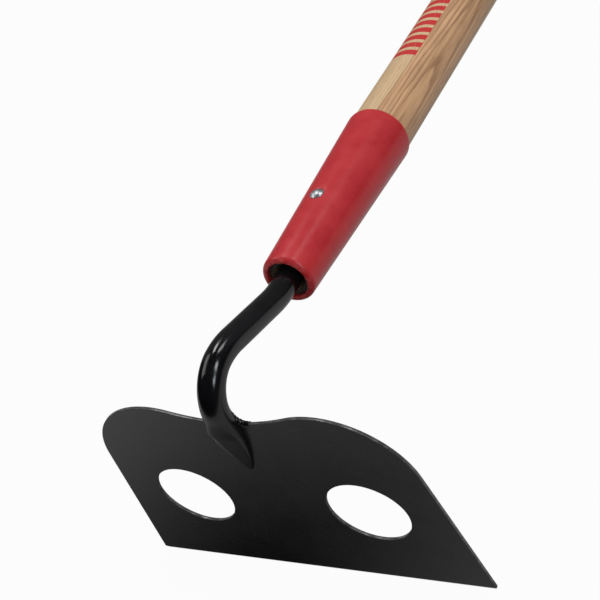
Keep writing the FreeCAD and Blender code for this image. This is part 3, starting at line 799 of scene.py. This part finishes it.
def side_bead_stations(side):
    """Stations of the bead beside the neck: down the rod, round a cove, and out along the blade's dip."""
    inner = ROD_RADIUS + SIDE_BEAD_SHIFT
    across = inner + BEAD_COVE
    bottom = DIP_HEIGHT + SIDE_BEAD_LIFT
    middle = -PLATE / 2
    depth = Vector((0, 1, 0))
    run_outs = [BEAD_RUN_OUT * index / BEAD_RUN_STEPS for index in range(BEAD_RUN_STEPS + 1)]
    stations = []
    for run_out in reversed(run_outs):
        stations.append((Vector((side * inner, middle, bottom + BEAD_COVE + run_out)),
                         Vector((side, 0, 0)), depth))
    for index in range(1, BEAD_BEND_STEPS + 1):
        turn = math.pi / 2 * index / BEAD_BEND_STEPS
        way = Vector((-side * math.cos(turn), 0, -math.sin(turn)))
        centre = Vector((side * across, middle, bottom + BEAD_COVE))
        stations.append((centre + way * BEAD_COVE, -way, depth))
    for run_out in run_outs[1:]:
        stations.append((Vector((side * (across + run_out), middle, bottom)), Vector((0, 0, 1)), depth))
    return stations


def rear_bead_stations():
    """Stations of the bead behind the blade, straight across under the neck."""
    reach = REAR_BEAD_HALF_LENGTH + BEAD_RADIUS
    spots = [reach * (2 * index / REAR_BEAD_STEPS - 1) for index in range(REAR_BEAD_STEPS + 1)]
    return [(Vector((x, REAR_BEAD_PLACE, REAR_BEAD_HEIGHT)), Vector((0, 1, 0)), Vector((0, 0, 1)))
            for x in spots]


# ---------------------------------------------------------------- ferrule, handle and rivet

def ferrule_radius(along):
    """Radius of the ferrule's outer cone at a distance from its mouth."""
    return FERRULE_MOUTH_RADIUS + (FERRULE_TOP_RADIUS - FERRULE_MOUTH_RADIUS) * along / FERRULE_LENGTH


def make_ferrule(material):
    """Tapered sleeve with a rolled lip round its opening, a rounded rim, and two pressed rivet seats."""
    profile = []

    def rounding(along, radius, size_along, size_radius, start, end):
        for spot in arc_points(Vector((0, 0)), 1.0, start, end, math.radians(9)):
            profile.append((along + spot.x * size_along, radius + spot.y * size_radius))

    rounding(OPENING_ROUND, OPENING_RADIUS + OPENING_ROUND, OPENING_ROUND, OPENING_ROUND,
             -math.pi / 2, -math.pi)
    rounding(MOUTH_ROUND, ferrule_radius(MOUTH_ROUND) - MOUTH_ROUND, MOUTH_ROUND, MOUTH_ROUND,
             math.pi, math.pi / 2)
    first = MOUTH_ROUND
    last = FERRULE_LENGTH - RIM_ROUND_LENGTH
    for index in range(1, FERRULE_STEPS):
        along = first + (last - first) * index / FERRULE_STEPS
        profile.append((along, ferrule_radius(along)))
    rounding(last, ferrule_radius(last) - RIM_ROUND, RIM_ROUND_LENGTH, RIM_ROUND, math.pi / 2, 0)
    profile.append((FERRULE_LENGTH, HANDLE_RADIUS + FIT_GAP))
    profile.append((LIP_LENGTH, HANDLE_END_RADIUS + FIT_GAP))
    profile.append((LIP_LENGTH, OPENING_RADIUS))
    points, faces = revolve(profile, TURNED_SIDES, closed=True)

    # A shallow seat is pressed in under the rivet's head and tail.
    seat = ferrule_radius(RIVET_STATION) - RIVET_SEAT_DEPTH
    for spot in points:
        away = math.hypot(spot.x, spot.z - RIVET_STATION)
        limit = seat + max(0.0, away - RIVET_HEAD_RADIUS - FIT_GAP) * RIVET_SEAT_SLOPE
        if abs(spot.y) > limit and away < 2 * RIVET_HEAD_RADIUS:
            spot.y = math.copysign(limit, spot.y)
    new_piece("ferrule_sleeve", points, faces, material, "ferrule", HANDLE_FRAME)


def make_handle(material):
    """Pole with a socket at the mouth, a cone inside the ferrule, a plain grip and a rounded butt."""
    butt = HANDLE_RECESS + HANDLE_LENGTH
    socket_end = HANDLE_RECESS + SOCKET_DEPTH
    profile = [
        (socket_end, POINT_RADIUS),
        (socket_end, SOCKET_RADIUS - SOCKET_FLOOR_CHAMFER),
        (socket_end - SOCKET_FLOOR_CHAMFER, SOCKET_RADIUS),
        (HANDLE_RECESS + SOCKET_MOUTH_CHAMFER, SOCKET_RADIUS),
        (HANDLE_RECESS, SOCKET_RADIUS + SOCKET_MOUTH_CHAMFER),
        (HANDLE_RECESS, HANDLE_END_RADIUS),
    ]
    for index in range(1, CONE_STEPS + 1):
        share = index / CONE_STEPS
        profile.append((HANDLE_RECESS + (FERRULE_LENGTH - HANDLE_RECESS) * share,
                        HANDLE_END_RADIUS + (HANDLE_RADIUS - HANDLE_END_RADIUS) * share))
    grip_end = Vector((butt - BUTT_ROUND, HANDLE_RADIUS))
    grip = line_points(Vector((FERRULE_LENGTH, HANDLE_RADIUS)), grip_end, GRIP_STEP)
    profile += [(spot.x, spot.y) for spot in grip[1:]]
    for spot in arc_points(Vector((butt - BUTT_ROUND, HANDLE_RADIUS - BUTT_ROUND)), BUTT_ROUND,
                           math.pi / 2, 0, math.radians(6))[1:]:
        profile.append((spot.x, spot.y))
    profile.append((butt, POINT_RADIUS))
    points, faces = revolve(profile, TURNED_SIDES)
    new_piece("handle_pole", points, faces, material, "handle", HANDLE_FRAME)


def make_rivet(material):
    """Rivet across the handle, with a domed head above and a smaller domed tail below."""
    seat = ferrule_radius(RIVET_STATION) - RIVET_SEAT_DEPTH
    rim = seat + RIVET_RIM

    def dome(radius, rise):
        ball = (radius ** 2 + rise ** 2) / (2 * rise)
        spread = math.asin(radius / ball)
        turns = [spread * index / DOME_STEPS for index in range(DOME_STEPS, 0, -1)]
        spots = [(ball * math.cos(turn) - ball + rise, ball * math.sin(turn)) for turn in turns]
        return spots + [(rise, DOME_POINT_RADIUS)]

    head = dome(RIVET_HEAD_RADIUS, RIVET_HEAD_DOME)
    tail = dome(RIVET_TAIL_RADIUS, RIVET_TAIL_DOME)
    profile = [(-rim - along, radius) for along, radius in reversed(tail)]
    profile += [(-seat, RIVET_TAIL_RADIUS), (-seat, RIVET_RADIUS), (seat, RIVET_RADIUS)]
    profile += [(seat, RIVET_HEAD_RADIUS)]
    profile += [(rim + along, radius) for along, radius in head]
    points, faces = revolve(profile, RIVET_SIDES)
    station = Matrix.Translation((0, 0, RIVET_STATION * MM))
    place = HANDLE_FRAME @ station @ Matrix.Rotation(math.pi / 2, 4, "X")
    new_piece("rivet_domed", points, faces, material, "rivet", place)


# ---------------------------------------------------------------- build

weld_black = forged_paint("weld_paint", 0.18, 0.030)
make_blade(blade_paint())
make_gooseneck(forged_paint("gooseneck_paint", 0.12, 0.008))
make_bead("weld_left", side_bead_stations(-1), "weld_bead_left", weld_black)
make_bead("weld_right", side_bead_stations(1), "weld_bead_right", weld_black)
make_bead("weld_rear", rear_bead_stations(), "weld_bead_rear", weld_black)
make_ferrule(red_enamel())
make_handle(ash_wood())
make_rivet(zinc())


# ---------------------------------------------------------------- camera, floor and light

CAMERA_PLACE = (0.43801, -0.37945, 0.64259)    # metres
CAMERA_VIEW = Vector((-0.53043, 0.57897, -0.61922))
CAMERA_UP = Vector((-0.00907, 0.72653, 0.68708))
CAMERA_LENS = 83.53
SENSOR_WIDTH = 36.0
FLOOR_REACH = 20.0    # metres
STUDIO_CENTRE = Vector((0.0, 60.0, 160.0))
STUDIO_DISTANCE = 1500.0
SKY_SIDE = (-0.35, 0.8, 0.5)
SKY_LOW = 0.1
SKY_HIGH = 1.5
FLOOR_WHITENESS = 0.96
FLOOR_DARK = 0.01
FLOOR_BRIGHT = 0.52
FLOOR_FADE_START = 450.0
FLOOR_FADE_END = 1100.0
SHADE_X = -40.0
SHADE_NARROWING = 0.8
SHADE_REACH = 240.0


def add_camera():
    camera = bpy.data.cameras.new("camera")
    camera.sensor_width = SENSOR_WIDTH
    camera.lens = CAMERA_LENS
    camera.clip_end = 2.5 * FLOOR_REACH
    view = CAMERA_VIEW.normalized()
    right = view.cross(CAMERA_UP).normalized()
    up = right.cross(view)
    item = bpy.data.objects.new("camera", camera)
    turn = Matrix((right, up, -view)).transposed().to_4x4()
    item.matrix_world = Matrix.Translation(CAMERA_PLACE) @ turn
    bpy.context.scene.collection.objects.link(item)
    bpy.context.scene.camera = item


def floor_look():
    """Pale floor. In reflections it glows, with a painted shadow: dark right under the tool and bright
    round about.
    """
    n = Nodes("floor")
    path = n.add("LightPath").outputs
    x, y, _ = n.parts(n.place())
    across = n.math("MULTIPLY", n.math("SUBTRACT", x, SHADE_X), SHADE_NARROWING)
    away = n.math("SQRT", n.math("ADD", n.math("MULTIPLY", across, across), n.math("MULTIPLY", y, y)))
    bright = n.math("MULTIPLY", n.remap(away, 0.0, SHADE_REACH),
                    n.remap(away, FLOOR_FADE_START, FLOOR_FADE_END, 1.0, 0.0))
    glow = n.add("Emission", {"Color": (1, 1, 1, 1), "Strength": n.remap(
        bright, 0.0, 1.0, FLOOR_DARK, FLOOR_BRIGHT, "LINEAR")})
    pale = n.add("Emission", {"Color": (1, 1, 1, 1), "Strength": 1.0})
    n.set(colour=(0.3, 0.3, 0.3, 1), roughness=0.9, specular=0.0)
    seen = n.add("MixShader", {0: n.math("MULTIPLY", path["Is Camera Ray"], FLOOR_WHITENESS),
                               1: n.shader.outputs["BSDF"], 2: pale.outputs["Emission"]})
    full = n.add("MixShader", {0: path["Is Glossy Ray"], 1: seen.outputs["Shader"],
                               2: glow.outputs["Emission"]})
    n.feed(n.tree.nodes["Material Output"].inputs["Surface"], full.outputs["Shader"])
    n.material.cycles.emission_sampling = "NONE"
    return n.material


def add_floor():
    mesh = bpy.data.meshes.new("floor")
    corners = [(x * FLOOR_REACH, y * FLOOR_REACH, 0) for x, y in ((-1, -1), (1, -1), (1, 1), (-1, 1))]
    mesh.from_pydata(corners, [], [(0, 1, 2, 3)])
    mesh.materials.append(floor_look())
    floor = bpy.data.objects.new("floor", mesh)
    bpy.context.scene.collection.objects.link(floor)


def add_world():
    """Soft light from all round, stronger from the upper left, that the glossy paint doesn't mirror."""
    world = bpy.data.worlds.new("studio")
    bpy.context.scene.world = world
    world.use_nodes = True
    tree = world.node_tree
    nodes = tree.nodes
    way = nodes.new("ShaderNodeTexCoord").outputs["Generated"]
    dot = nodes.new("ShaderNodeVectorMath")
    dot.operation = "DOT_PRODUCT"
    dot.inputs[1].default_value = Vector(SKY_SIDE).normalized()
    tree.links.new(way, dot.inputs[0])
    lift = nodes.new("ShaderNodeMapRange")
    for name, value in {"From Min": -1.0, "From Max": 1.0, "To Min": SKY_LOW, "To Max": SKY_HIGH}.items():
        lift.inputs[name].default_value = value
    tree.links.new(dot.outputs["Value"], lift.inputs["Value"])
    white = nodes.new("ShaderNodeMix")
    white.inputs["B"].default_value = 1.0
    tree.links.new(nodes.new("ShaderNodeLightPath").outputs["Is Camera Ray"], white.inputs["Factor"])
    tree.links.new(lift.outputs["Result"], white.inputs["A"])
    tree.links.new(white.outputs["Result"], nodes["Background"].inputs["Strength"])
    nodes["Background"].inputs["Color"].default_value = (1, 1, 1, 1)
    world.cycles_visibility.glossy = False


def add_light(name, direction, width, height, radiance, tint=(1, 1, 1), reflection_only=False):
    """Soft box that faces the tool. Width and height are the degrees it covers as seen from the tool."""
    distance = STUDIO_DISTANCE * MM
    light = bpy.data.lights.new(name, "AREA")
    light.shape = "RECTANGLE"
    light.size = 2 * distance * math.tan(math.radians(width) / 2)
    light.size_y = 2 * distance * math.tan(math.radians(height) / 2)
    light.energy = math.pi * radiance * light.size * light.size_y
    light.color = tint
    away = Vector(direction).normalized()
    item = bpy.data.objects.new(name, light)
    item.matrix_world = Matrix.Translation(STUDIO_CENTRE * MM + away * distance) @ (
        away.to_track_quat("Z", "Y").to_matrix().to_4x4())
    item.visible_camera = False
    item.visible_diffuse = not reflection_only
    bpy.context.scene.collection.objects.link(item)


def add_lights():
    add_light("box_left", (-0.27, 0.50, 0.83), 10, 18, 10.0)
    add_light("box_right", (0.32, 0.53, 0.78), 10, 18, 7.5)
    add_light("window_high", (0.70, 0.03, 0.71), 13, 18, 9.5, (0.90, 0.95, 1.0))
    add_light("window_low", (0.78, -0.32, 0.54), 13, 14, 8.0, (0.84, 0.91, 1.0))
    add_light("card_left", (-0.68, 0.0, 0.73), 35, 25, 2.1, reflection_only=True)
    add_light("backdrop", (-0.2, 1.0, 0.35), 120, 60, 0.12, reflection_only=True)


add_camera()
add_floor()
add_world()
add_lights()
bpy.context.scene.view_settings.view_transform = "Standard"
